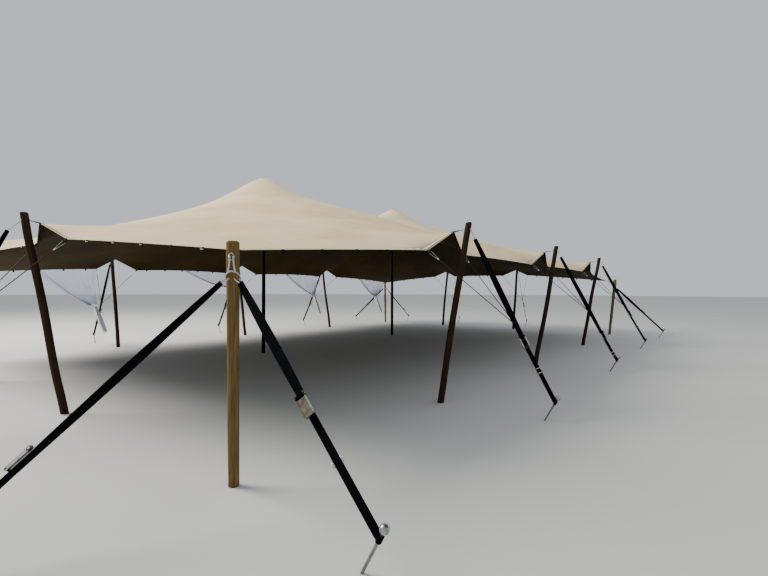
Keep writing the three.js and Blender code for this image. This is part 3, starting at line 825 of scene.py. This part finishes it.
class TENT_OT_canopy(Operator):
    """Makes the stretched sheet with its hem and the tabs along it"""

    bl_idname = "tent.canopy"
    bl_label = "Canopy"

    def execute(self, context):
        s = context.scene.tent_canopy
        look("coated_knit_outer", s.top_colour)
        # The inner face gets the painted-shade brown
        look("coated_knit_inner", s.under_painted_shade_colour)
        sheet = piece(
            "canopy_sheet", sheet_grid(), ["coated_knit_outer", "coated_knit_inner"],
            replaces=["canopy"], closed=False)
        wall = sheet.modifiers.new("thickness", "SOLIDIFY")
        wall.thickness = s.thickness
        wall.offset = 0.0
        wall.material_offset = 1
        wall.material_offset_rim = 0
        self.hem(s)
        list(self.tabs(s))
        return {"FINISHED"}

    def hem(self, s):
        """The doubled edge: the sheet's own edge line extruded round it in rows."""
        bm = sheet_grid()
        middle, upward, inward, rim = (
            layer(bm, name) for name in ("middle", "upward", "inward", "rim"))
        bm.normal_update()
        for vert in bm.verts:
            vert[middle] = vert.co
            d = vert[inward]
            vert[upward] = (vert.normal - d * vert.normal.dot(d)).normalized()
        bmesh.ops.delete(bm, geom=list(bm.faces), context="FACES_KEEP_BOUNDARY")
        line = [e for e in bm.edges if e.is_boundary or e.is_wire]
        loose = [e for e in bm.edges if e not in set(line)]
        bmesh.ops.delete(bm, geom=loose, context="EDGES")
        first, made = line, list(bm.verts)
        # How far in from the edge and how far above the sheet each row lies
        rows = [(s.hem, 0.0022), (0.012, 0.004), (-0.004, 0), (0.012, -0.004), (s.hem, -0.0022)]
        for k, (along, off) in enumerate(rows):
            if k:
                geom = bmesh.ops.extrude_edge_only(bm, edges=line)["geom"]
                made = of_kind(geom, BMVert)
                line = [e for e in of_kind(geom, BMEdge) if set(e.verts) <= set(made)]
                for face in of_kind(geom, BMFace):
                    face.material_index = int(k > 2)
            for vert in made:
                vert.co = Vector(vert[middle]) + vert[inward] * along + vert[upward] * off
                vert[rim] = Vector((max(0.0, along), max(0.0, along), vert[rim].z))
        for face in bmesh.ops.bridge_loops(bm, edges=first + line)["faces"]:
            face.material_index = 1
        # The hem's under rows take the inner face's painted-shade brown
        return piece("canopy_hem", bm, ["coated_knit_hem", "coated_knit_inner"])

    def tabs(self, s):
        """Webbing loops sewn under the hem; at the two ends most have a short white cord."""
        us, vs, points = NET
        loops, cords = bmesh.new(), bmesh.new()
        for line, places, tips in (
            (points[:, 0], us, SIDE_STATIONS), (points[:, -1], us, SIDE_STATIONS),
            (points[0], vs, END_STATIONS), (points[-1], vs, END_STATIONS),
        ):
            count = round(places[-1] / s.tab_spacing)
            for k in range(1, count):
                at = places[-1] * k / count
                if min(abs(at - t) for t in tips) < TAB_CLEAR:
                    continue
                p, q = (
                    Vector([float(np.interp(at + d, places, line[:, m])) for m in range(3)])
                    for d in (-0.01, 0.01))
                d = (q - p).normalized()
                middle = (p + q) / 2 - UP * 0.004
                out = d.cross(UP)
                if out.dot(middle) < 0:
                    out.negate()
                draw_out(
                    loops, [middle + out * a + UP * b for a, b in TAB_LOOP], TAB_SECTION, d)
                if places is vs and k % 4 != 2:
                    start = middle + out * 0.007 - UP * 0.01
                    reach = 0.016 + 0.005 * (k % 3)
                    draw_out(
                        cords, [start - d * reach, start - UP * 0.004, start + d * 0.02],
                        circle(ROPE["hem"], 6))
        return [
            piece("hem_tabs", loops, ["hem_tab_webbing"], smooth=False),
            piece("hem_tab_cords", cords, ["hem_tab_cord"])]


def round_pole(name, pole, foot, out, timber, node, seed, sides, bend):
    """A pole of round timber: wandering a little, uneven round its girth, with a
    rounded head and a level foot."""
    height = pole["height"]
    bm = bmesh.new()
    bmesh.ops.create_cone(
        bm, cap_ends=True, segments=sides, radius1=pole["foot"], radius2=pole["head"],
        depth=height)
    bmesh.ops.translate(bm, verts=bm.verts, vec=(0, 0, height / 2))
    head = [e for e in bm.edges if all(abs(v.co.z - height) < 1e-5 for v in e.verts)]
    soften(bm, head, pole["head"] * 0.42, 5)
    upright = [e for e in bm.edges if abs(e.verts[0].co.z - e.verts[1].co.z) > height / 2]
    bmesh.ops.subdivide_edges(bm, edges=upright, cuts=26, use_grid_fill=True)
    grain = layer(bm, "grain")
    for vert in bm.verts:
        x, y, z = vert.co
        t = z / height
        # It wanders least near its foot and its head, where the ropes are
        free = min(1.0, 6 * t) * min(1.0, 6 * (1 - t) + 0.15)
        girth = noise.noise(Vector((x * 9, y * 9, z * 1.6 + seed * 7)))
        swell = 1 + 0.05 * girth * (0.25 + 0.75 * min(1.0, 8 * t))
        wander = Vector((
            noise.noise(Vector((seed * 3.1, z * 0.9, 0.5))),
            noise.noise(Vector((0.5, seed * 2.3, z * 0.9))), 0)) * bend * free
        vert[grain] = Vector((x + seed * 0.37, y + seed * 0.21, z + seed * 1.7))
        vert.co = Vector((x * swell, y * swell, z)) + wander
        vert.co += foot + out * (pole["lean"] * z / height)
    piece(name, bm, [timber], replaces=[node])


class TENT_OT_outer_poles(Operator):
    """Makes the leaning poles: stained timber along the edge, peeled timber at the corners"""

    bl_idname = "tent.outer_poles"
    bl_label = "Outer poles"

    def execute(self, context):
        s = context.scene.tent_poles
        for seed, (name, foot, out) in enumerate(stations(), 3):
            round_pole(
                f"edge_pole_{name}", SIDE_POLE, foot, out, "stained_round_timber",
                f"pole_{name}", seed, s.sides, s.bend)
        for seed, (name, foot, lean, pole) in enumerate(corners(), 31):
            round_pole(
                f"corner_pole_{name}", pole, foot, lean, "peeled_round_timber",
                f"pole_{name}", seed, s.sides, s.bend / 3)
        return {"FINISHED"}


class TENT_OT_inner_poles(Operator):
    """Makes the two tall inner poles with their round heads"""

    bl_idname = "tent.inner_poles"
    bl_label = "Inner poles"

    def execute(self, context):
        for k, (u, v, z) in enumerate(PEAKS, 1):
            top = z - 0.0035
            bm = bmesh.new()
            turned(bm, [(0, 0), (0.044, 0)] + [(r, top - down) for r, down in CAP], 32)
            grain = layer(bm, "grain")
            for vert in bm.verts:
                vert[grain] = vert.co + Vector((k * 0.4, 0, k * 1.3))
            for face in bm.faces:
                face.material_index = int(face.calc_center_median().z > top - CAP_DEPTH)
            bmesh.ops.translate(bm, verts=bm.verts, vec=at_plan(u, v))
            piece(
                f"inner_pole_{k}_round", bm, ["dark_round_timber", "painted_steel_cap"],
                replaces=[f"inner_pole_{k}"])
        return {"FINISHED"}


def ratchet_frame(bm, axes):
    """The frame: two bright cheeks, and a floor, two toothed wheels and the pin in dull
    metal."""
    for k in (-1, 1):
        block(bm, (0.053, k * 0.0295, -0.009), (0.15, 0.003, 0.03), axes, 0.001)
        bar(bm, (0, k * 0.0325, 0), 0.018, 0.0022, axes, 16, metal=1)
        for tooth in range(12):
            turn = Matrix.Rotation(2 * math.pi * tooth / 12, 4, "Y")
            block(bm, (0.0185, k * 0.0325, 0), (0.006, 0.0022, 0.005), axes @ turn, metal=1)
    block(bm, (0.06, 0, -0.0205), (0.13, 0.056, 0.003), axes, 0.001, metal=1)
    bar(bm, (0, 0, 0), 0.011, 0.08, axes, 20, metal=1)
    bar(bm, (0.11, 0, -0.008), 0.006, 0.064, axes, 14, metal=1)


def ratchet_lever(bm, axes, plate, metal):
    """The lever: two arms round the pin, a plate of some length and a round grip."""
    for k in (-1, 1):
        block(bm, (0.078, k * 0.0365, 0), (0.144, 0.003, 0.024), axes, 0.001)
        bar(bm, (0, k * 0.0365, 0), 0.0168, 0.003, axes, 20, metal=1)
        bar(bm, (0, k * 0.0395, 0), 0.009, 0.0035, axes, 6)
        # On the wide plate only one edge strip is bright zinc, a painted highlight on its lit side
        wide, tone = (0.012, 0) if metal == 1 else (0.007, 1 - k)
        block(bm, (0.075, k * 0.035, 0.0128), (0.125, wide, 0.0022), axes, 0.0008, tone)
    block(bm, (0.148 - plate / 2, 0, 0.0105), (plate, 0.073, 0.003), axes, 0.001, metal)
    bar(bm, (0.14, 0, 0.0), 0.008, 0.076, axes, 18, metal=1)
    block(bm, (0.04, 0, 0.006), (0.014, 0.07, 0.0035), axes, 0.001, metal=1)


class TENT_OT_straps(Operator):
    """Makes the webbing of every strap, with its ratchet and keeper"""

    bl_idname = "tent.straps"
    bl_label = "Straps"

    def execute(self, context):
        s = context.scene.tent_straps
        done = set()
        for run in strap_runs():
            length = (run.end - run.start).length
            # The pin lies above the ratchet's middle and stands off the strap
            axes = run_axes(run, run.where - 0.075 / length) @ Matrix.Translation((0, 0, 0.024))
            self.webbing(run, s, axes, [] if run.node in done else [run.node])
            done.add(run.node)
            near = run.name.startswith("front_left_")
            bm = bmesh.new()
            ratchet_frame(bm, axes)
            if near:
                part = run.name.rsplit("_", 1)[1]
                lever = bmesh.new()
                ratchet_lever(lever, axes, 0.13, 2)
                piece(
                    f"lever_{part}", lever, METALS, f"lever_{part}", smooth=False,
                    replaces=[f"ratchet_lever_{part}"])
            else:
                ratchet_lever(bm, axes, 0.014, 1)
            piece(f"ratchet_{run.name}", bm, METALS, smooth=False)
            bm = bmesh.new()
            past, wide, high = (0.19, 0.018, -0.005) if near else (0.16, 0.028, 0.005)
            keeper = run_axes(run, min(0.95, run.where + past))
            for k in (-1, 1):
                bar(bm, (k * wide, 0, high), wide * 0.22, 0.068, keeper, 10)
                bar(bm, (0, k * 0.033, 0.005), 0.0035 + wide * 0.08, wide * 2, keeper, 10, "X")
            piece(f"keeper_{run.name}", bm, METALS)
        return {"FINISHED"}

    def webbing(self, run, s, axes, replaces):
        """Two layers above the ratchet, two below it, the roll on the pin and the loop
        round the stake."""
        length = (run.end - run.start).length
        forward, side, up = (axes.col[k].to_3d() for k in range(3))
        split = run.start.lerp(run.end, run.where + 0.05 / length)
        stretch, section = (band(s.width * k, s.thickness) for k in (0.93, 1))
        bm = bmesh.new()
        for a, b, fan in (
            (webbing_top(run), split, 0.027), (split, run.end - forward * 0.012, 0.0)
        ):
            for ply in (-0.5, 0.5):
                path = []
                for k in range(11):
                    belly = math.sin(math.pi * k / 10)
                    lift = ply * (s.thickness + 0.001 + 0.004 * belly)
                    path.append(a.lerp(b, k / 10) + up * lift + side * ply * fan * belly)
                draw_out(bm, path, stretch, side)
        pin = axes.translation
        draw_out(bm, coil(pin, forward, up, 12, 25, 0.0125, 0.000275), section, side)
        slack = ((0.012, 0, -0.013), (0.06, 0, -0.015), (0.112, 0, 0))
        draw_out(bm, [axes @ Vector(p) for p in slack], section, side)
        lean = (run.out * STAKE["lean"] + UP * STAKE["height"]).normalized()
        a = (run.out - lean * run.out.dot(lean)).normalized()
        loop = coil(run.end, a, lean.cross(a), 18, 21, 0.0145, 0.0002)
        draw_out(bm, loop, band(*BAND["stake"]), lean)
        piece(
            f"webbing_{run.name}", bm, ["polyester_lashing_webbing"], smooth=False,
            replaces=replaces)


def winding(bm, pole, foot, lean):
    """Two turns of rope round a corner pole, higher where they cross the outer side."""
    outward = math.atan2(lean.y, lean.x)
    path = []
    for k in range(41):
        angle = 2 * math.pi * k / 20
        h = CORNER_STRAP_Z + 0.007 + (k / 40 - 0.5) * ROPE["strap"] * 2.1
        h += 0.047 * math.cos(angle - outward)
        r = pole_radius(pole, h) * 1.035 + ROPE["strap"]
        path.append(
            pole_axis(pole, foot, lean, h) + Vector((r * math.cos(angle), r * math.sin(angle), 0)))
    draw_out(bm, path, circle(ROPE["strap"]))


def legs(bm, a, b, wide, narrow, rope, belly=None, upright=False):
    """Two legs of rope from a to b, wide apart at a, narrow at b and belly apart midway,
    side by side or, upright, one above the other."""
    d = (b - a).normalized()
    side = d.orthogonal() if abs(d.z) > 0.99 else beside(d)
    side.normalize()
    if upright:
        side = d.cross(side)
    for k in (-1, 1):
        middle = a.lerp(b, 0.5) + side * k * (belly or (wide + narrow) * 0.6)
        draw_out(bm, eased([a + side * k * wide, middle, b + side * k * narrow]), circle(rope))


class TENT_OT_ropes(Operator):
    """Makes the ropes at the poles' heads, the tabs of the tips and the bridles"""

    bl_idname = "tent.ropes"
    bl_label = "Ropes"

    def execute(self, context):
        runs = {run.name: run for run in strap_runs()}
        for name, foot, out in stations():
            self.station(name, foot, out, runs[name])
        for name, foot, lean, pole in corners():
            self.corner(name, foot, lean, pole, [runs[f"{name}_side"], runs[f"{name}_end"]])
        return {"FINISHED"}

    def station(self, name, foot, out, run):
        """The rope through an edge pole's head, the bridle below and the tab of the tip."""
        across = beside(out)
        tip = knot(foot)
        ring = pole_axis(SIDE_POLE, foot, out, SIDE_RING_Z)
        hole = out * (pole_radius(SIDE_POLE, SIDE_RING_Z) - 0.006)
        tab_end = tip.lerp(ring - hole, 0.4)
        # The rope runs through a hole in the head, with a loop on either side
        bm = bmesh.new()
        legs(bm, ring - hole, tab_end, 0.006, 0.006, ROPE["tip"], belly=0.026)
        legs(bm, ring + hole, webbing_top(run), 0.006, 0.01, ROPE["head"], belly=0.009)
        join = run.start.lerp(run.end, BRIDLE_JOIN)
        line, stop = bmesh.new(), bmesh.new()
        for k in (-1, 1):
            edge = knot(foot + across * k * BRIDLE_OFF)
            d = (join - edge).normalized()
            middle = edge + d * 0.17
            legs(bm, edge + d * 0.04, middle, 0.018, 0.004, ROPE["doubled"], upright=True)
            path = [edge - d * 0.004, edge + d * 0.03, edge + d * 0.045]
            draw_out(line, path, band(*BAND["bridle"]), d.cross(beside(d)))
            path = [middle + d * a for a in (-0.018, -0.01, 0.01, 0.018)]
            draw_out(stop, path, circle(ROPE["stop"], 10), swell=(0.6, 1.0, 1.0, 0.6))
            draw_out(line, [middle, edge.lerp(join, 0.6), join], circle(ROPE["bridle"]))
        piece(f"head_rope_{name}", bm, ["white_polyester_rope"])
        piece(f"bridle_line_{name}", line, ["dark_thin_line"])
        piece(f"bridle_stop_{name}", stop, ["moulded_cord_stopper"])
        d = (tab_end - tip).normalized()
        path = [tip - d * 0.05, tip - d * 0.01, tip + d * 0.02, tab_end + d * 0.012]
        strand(
            f"tip_tab_{name}", path, band(*BAND["tip"]), "tip_tab_webbing", across, smooth=False)

    def corner(self, name, foot, lean, pole, straps):
        """The line and the tab of a canopy corner, and the shackle and rope of its pole."""
        diagonal = lean.normalized()
        side = beside(diagonal)
        corner = knot(foot)
        r = pole_radius(pole, CORNER_RING_Z)
        ring = pole_axis(pole, foot, lean, CORNER_RING_Z)
        strap = pole_axis(pole, foot, lean, CORNER_STRAP_Z)
        bm = bmesh.new()
        end = corner + diagonal * 0.03
        legs(bm, ring - diagonal * (r - 0.006), end, 0.02, 0.01, ROPE["corner"])
        piece(f"corner_line_{name}", bm, ["dark_thin_line"])
        bm = bmesh.new()
        winding(bm, pole, foot, lean)
        top = ring + diagonal * (r + 0.012)
        low = pole_axis(pole, foot, lean, CORNER_STRAP_Z + 0.05) + diagonal * (r + 0.012)
        for k in (-1, 1):
            end = low + side * k * 0.026
            path = [top + side * k * 0.012, top.lerp(end, 0.5) + side * k * 0.003, end]
            draw_out(bm, eased(path), circle(ROPE["head"]))
        for run in straps:
            eye = webbing_top(run) + run.out * 0.012
            legs(bm, strap + run.out * r * 0.8, eye, 0.02, 0.014, ROPE["strap"])
        piece(f"head_rope_{name}", bm, ["white_polyester_rope"])
        path = [corner - diagonal * 0.06, corner, corner + diagonal * 0.05]
        strand(
            f"tip_tab_{name}", path, band(*BAND["corner"]), "tip_tab_webbing", side, smooth=False)
        bm = bmesh.new()
        bow = [
            top + side * 0.014 - UP * 0.03, top + side * 0.018, top + UP * 0.022,
            top - side * 0.018, top - side * 0.014 - UP * 0.03]
        for path in eased(bow), [bow[0] + side * 0.008, bow[-1] - side * 0.008]:
            draw_out(bm, path, circle(ROPE["shackle"], 10))
        piece(f"shackle_{name}", bm, ["forged_zinc_shackle"])


class TENT_OT_stakes(Operator):
    """Makes the steel stakes with their round heads"""

    bl_idname = "tent.stakes"
    bl_label = "Stakes"

    def execute(self, context):
        h, r, head = STAKE["height"], STAKE["radius"], STAKE["head"]
        middle = UP * (h - 0.014)
        ball = [
            (head * math.cos(math.radians(a)), middle.z + head * math.sin(math.radians(a)))
            for a in range(-60, 67, 14)]
        hollow = [(head * 0.4, h + 0.004), (head * 0.38, h - 0.01), (0, h - 0.012)]
        for run in strap_runs():
            bm = bmesh.new()
            turned(bm, [(0, 0), (r, 0), (r, ball[0][1]), *ball, *hollow], 24)
            slope = run.out * (STAKE["lean"] / h)
            tilt = UP.rotation_difference(slope + UP).to_matrix()
            for vert in bm.verts:
                if vert.co.z > h - 0.05:
                    vert.co = middle + slope * middle.z + tilt @ (vert.co - middle)
                else:
                    vert.co += slope * vert.co.z
                vert.co += run.stake
            piece(
                f"steel_stake_{run.name}", bm, ["galvanised_forged_steel"],
                replaces=[f"stake_{run.name}"])
        return {"FINISHED"}


def back_edge(u):
    """The point of the sheet's back edge over plan position u."""
    line = NET[2][:, -1]
    x = u - LENGTH / 2
    return Vector([float(np.interp(x, line[:, 0], line[:, k])) for k in range(3)])


def hung(span, tie, c, k):
    """The point a share c across a curtain and a share k of the way down to its tie."""
    top = back_edge(span[0] + (span[1] - span[0]) * c) - UP * CURTAIN_GAP
    point = top.lerp(tie + Vector(((2 * c - 1) * NECK_HALF, 0, 0)), k)
    point.z -= SAG * math.sin(math.pi * k) * (1 - c)
    return point


def curtain_sides(span, tie, tail, t):
    """A curtain's two side edges at a share t of its way down."""
    if t <= NECK_AT:
        return [hung(span, tie, c, t / NECK_AT) for c in (0, 1)]
    k = (t - NECK_AT) / (1 - NECK_AT)
    spread = NECK_HALF + 0.034 * math.sin(math.pi * k * 0.85)
    middle = tie.lerp(tail, k)
    return [middle + Vector((m * spread, 0, 0)) for m in (-1, 1)]


class TENT_OT_curtains(Operator):
    """Makes the clear side curtains, drawn to their ties"""

    bl_idname = "tent.curtains"
    bl_label = "Curtains"

    def execute(self, context):
        s = context.scene.tent_curtains
        look("clear_soft_vinyl", s.clearest, s.milkiest)
        vinyls = ["clear_soft_vinyl", "folded_vinyl_edge", "gathered_vinyl_tail"]
        for number, (span, tie, tail) in enumerate(CURTAINS, 1):
            tie, tail = at_plan(*tie), at_plan(*tail)
            cut = (span[1] - span[0]) * CUT_SHARE
            bm = self.cloth(number, span, tie, tail, cut)
            curtain = piece(
                f"vinyl_curtain_{number}", bm, vinyls,
                replaces=[f"curtain_{number}"])
            ring = coil(
                tie - UP * 0.008, Vector((0.038, 0, 0)), Vector((0, 0.052, 0)), 20, 41, 1,
                rise=0.0004)
            tie_piece = strand(
                f"curtain_tie_{number}", ring, circle(ROPE["tie"]), "curtain_tie_cord")
            ends = curtain_sides(span, tie, tail, 0)
        return {"FINISHED"}

    def cloth(self, number, span, tie, tail, cut):
        """The cloth: a grid hung between the side edges and thrown into folds that keep
        its cut width. The attribute 'cloth' holds the place across and down it, and how
        far it is drawn together."""
        bm = bmesh.new()
        bmesh.ops.create_grid(bm, x_segments=108, y_segments=64, size=0.5)
        cloth = layer(bm, "cloth")
        for vert in bm.verts:
            c, t = vert.co.x + 0.5, 0.5 - vert.co.y
            left, right = curtain_sides(span, tie, tail, t)
            if t <= NECK_AT:
                k = t / NECK_AT
                p = hung(span, tie, c, k)
                drawn = 0.45 * k ** 3
            else:
                k = (t - NECK_AT) / (1 - NECK_AT)
                p = left.lerp(right, c)
                p.z += 0.09 * k * noise.noise(Vector((c * 9, number, 0)))
                drawn = 0.4
            width = (right - left).length
            deep = math.sqrt(max(0.0, cut * cut - width * width)) / (4 * FOLDS)
            ahead, behind = (
                sum(curtain_sides(span, tie, tail, near), Vector())
                for near in (min(1, t + 0.02), max(0, t - 0.02)))
            normal = (right - left).cross(ahead - behind).normalized()
            wave = math.sin(2 * math.pi * FOLDS * c + 1.1 * math.sin(2.2 * t + number))
            uneven = 1 + 0.25 * noise.noise(Vector((c * 6, t * 2, number)))
            # The doubled edge stays taut
            uneven *= min(1.0, c / 0.07) ** 2
            vert[cloth] = Vector((c * cut, t * DROP, drawn))
            vert.co = p + normal * wave * deep * uneven
        for face in bm.faces:
            c, t, _ = sum((l.vert[cloth] for l in face.loops), Vector()) / len(face.loops)
            # Drawn together, the doubled edge keeps its width down to the tie
            kept = cut / (1 - 0.8 * min(1.0, t / DROP / NECK_AT))
            doubled = c < 0.09 * kept or c > cut - 0.022 * kept
            # The doubled edge takes the lavender-grey film, painted shade on white vinyl
            face.material_index = 2 if t > DROP * (NECK_AT - 0.05) else int(doubled)
        return bm


class TENT_OT_stage(Operator):
    """Makes the pale floor, the soft light and the camera"""

    bl_idname = "tent.stage"
    bl_label = "Stage"

    def execute(self, context):
        scene = context.scene
        bm = bmesh.new()
        bmesh.ops.create_circle(bm, cap_ends=True, segments=96, radius=FLOOR_RADIUS)
        bmesh.ops.translate(bm, verts=bm.verts, vec=(0, 0, -FLOOR_GAP))
        floor = add_mesh("floor", bm, ["matt_floor_paint"])

        world = bpy.data.worlds.new("studio")
        scene.world = world
        world.use_nodes = True
        background = world.node_tree.nodes["Background"].inputs
        background["Color"].default_value = linear("dfe5ec")
        background["Strength"].default_value = 0.85

        key = bpy.data.lights.new("key", "AREA")
        key.shape = "DISK"
        key.size = 14.0
        key.energy = KEY_POWER
        key.color = (1.0, 0.96, 0.9)
        lamp = add_object("key", key)
        lamp.location = KEY_PLACE
        lamp.rotation_euler = (KEY_AIM - KEY_PLACE).to_track_quat("-Z", "Y").to_euler()

        lens = bpy.data.cameras.new("photo_camera")
        lens.sensor_width = 36.0
        lens.lens = FOCAL_LENGTH
        lens.clip_end = 500.0
        camera = add_object("photo_camera", lens)
        ahead = Vector(EYE_AHEAD).normalized()
        right = ahead.cross(UP).normalized()
        view = axes_at(EYE, right, right.cross(ahead), -ahead)
        camera.matrix_world = view @ Matrix.Rotation(EYE_ROLL, 4, "Z")
        scene.camera = camera
        return {"FINISHED"}


OPERATORS = (
    TENT_OT_stage, TENT_OT_canopy, TENT_OT_outer_poles, TENT_OT_inner_poles, TENT_OT_straps,
    TENT_OT_ropes, TENT_OT_stakes, TENT_OT_curtains,
)


class TENT_PT_panel(Panel):
    """Lists the tent's pieces"""

    bl_label = "Stretch tent"
    bl_idname = "TENT_PT_panel"
    bl_space_type = "VIEW_3D"
    bl_region_type = "UI"
    bl_category = "Tent"

    def draw(self, context):
        for operator in OPERATORS:
            self.layout.operator(operator.bl_idname)


SETTINGS = {
    "tent_canopy": CanopySettings, "tent_poles": PoleSettings,
    "tent_straps": StrapSettings, "tent_curtains": CurtainSettings,
}
CLASSES = (*SETTINGS.values(), *OPERATORS, TENT_PT_panel)


def register():
    for cls in CLASSES:
        bpy.utils.register_class(cls)
    for name, kind in SETTINGS.items():
        setattr(bpy.types.Scene, name, PointerProperty(type=kind))


def unregister():
    for name in SETTINGS:
        delattr(bpy.types.Scene, name)
    for cls in reversed(CLASSES):
        bpy.utils.unregister_class(cls)


def main():
    register()
    for operator in OPERATORS:
        step = operator.bl_idname.split(".")[1]
        if getattr(bpy.ops.tent, step)() != {"FINISHED"}:
            raise RuntimeError(f"{step} did not finish")


if __name__ == "__main__":
    main()
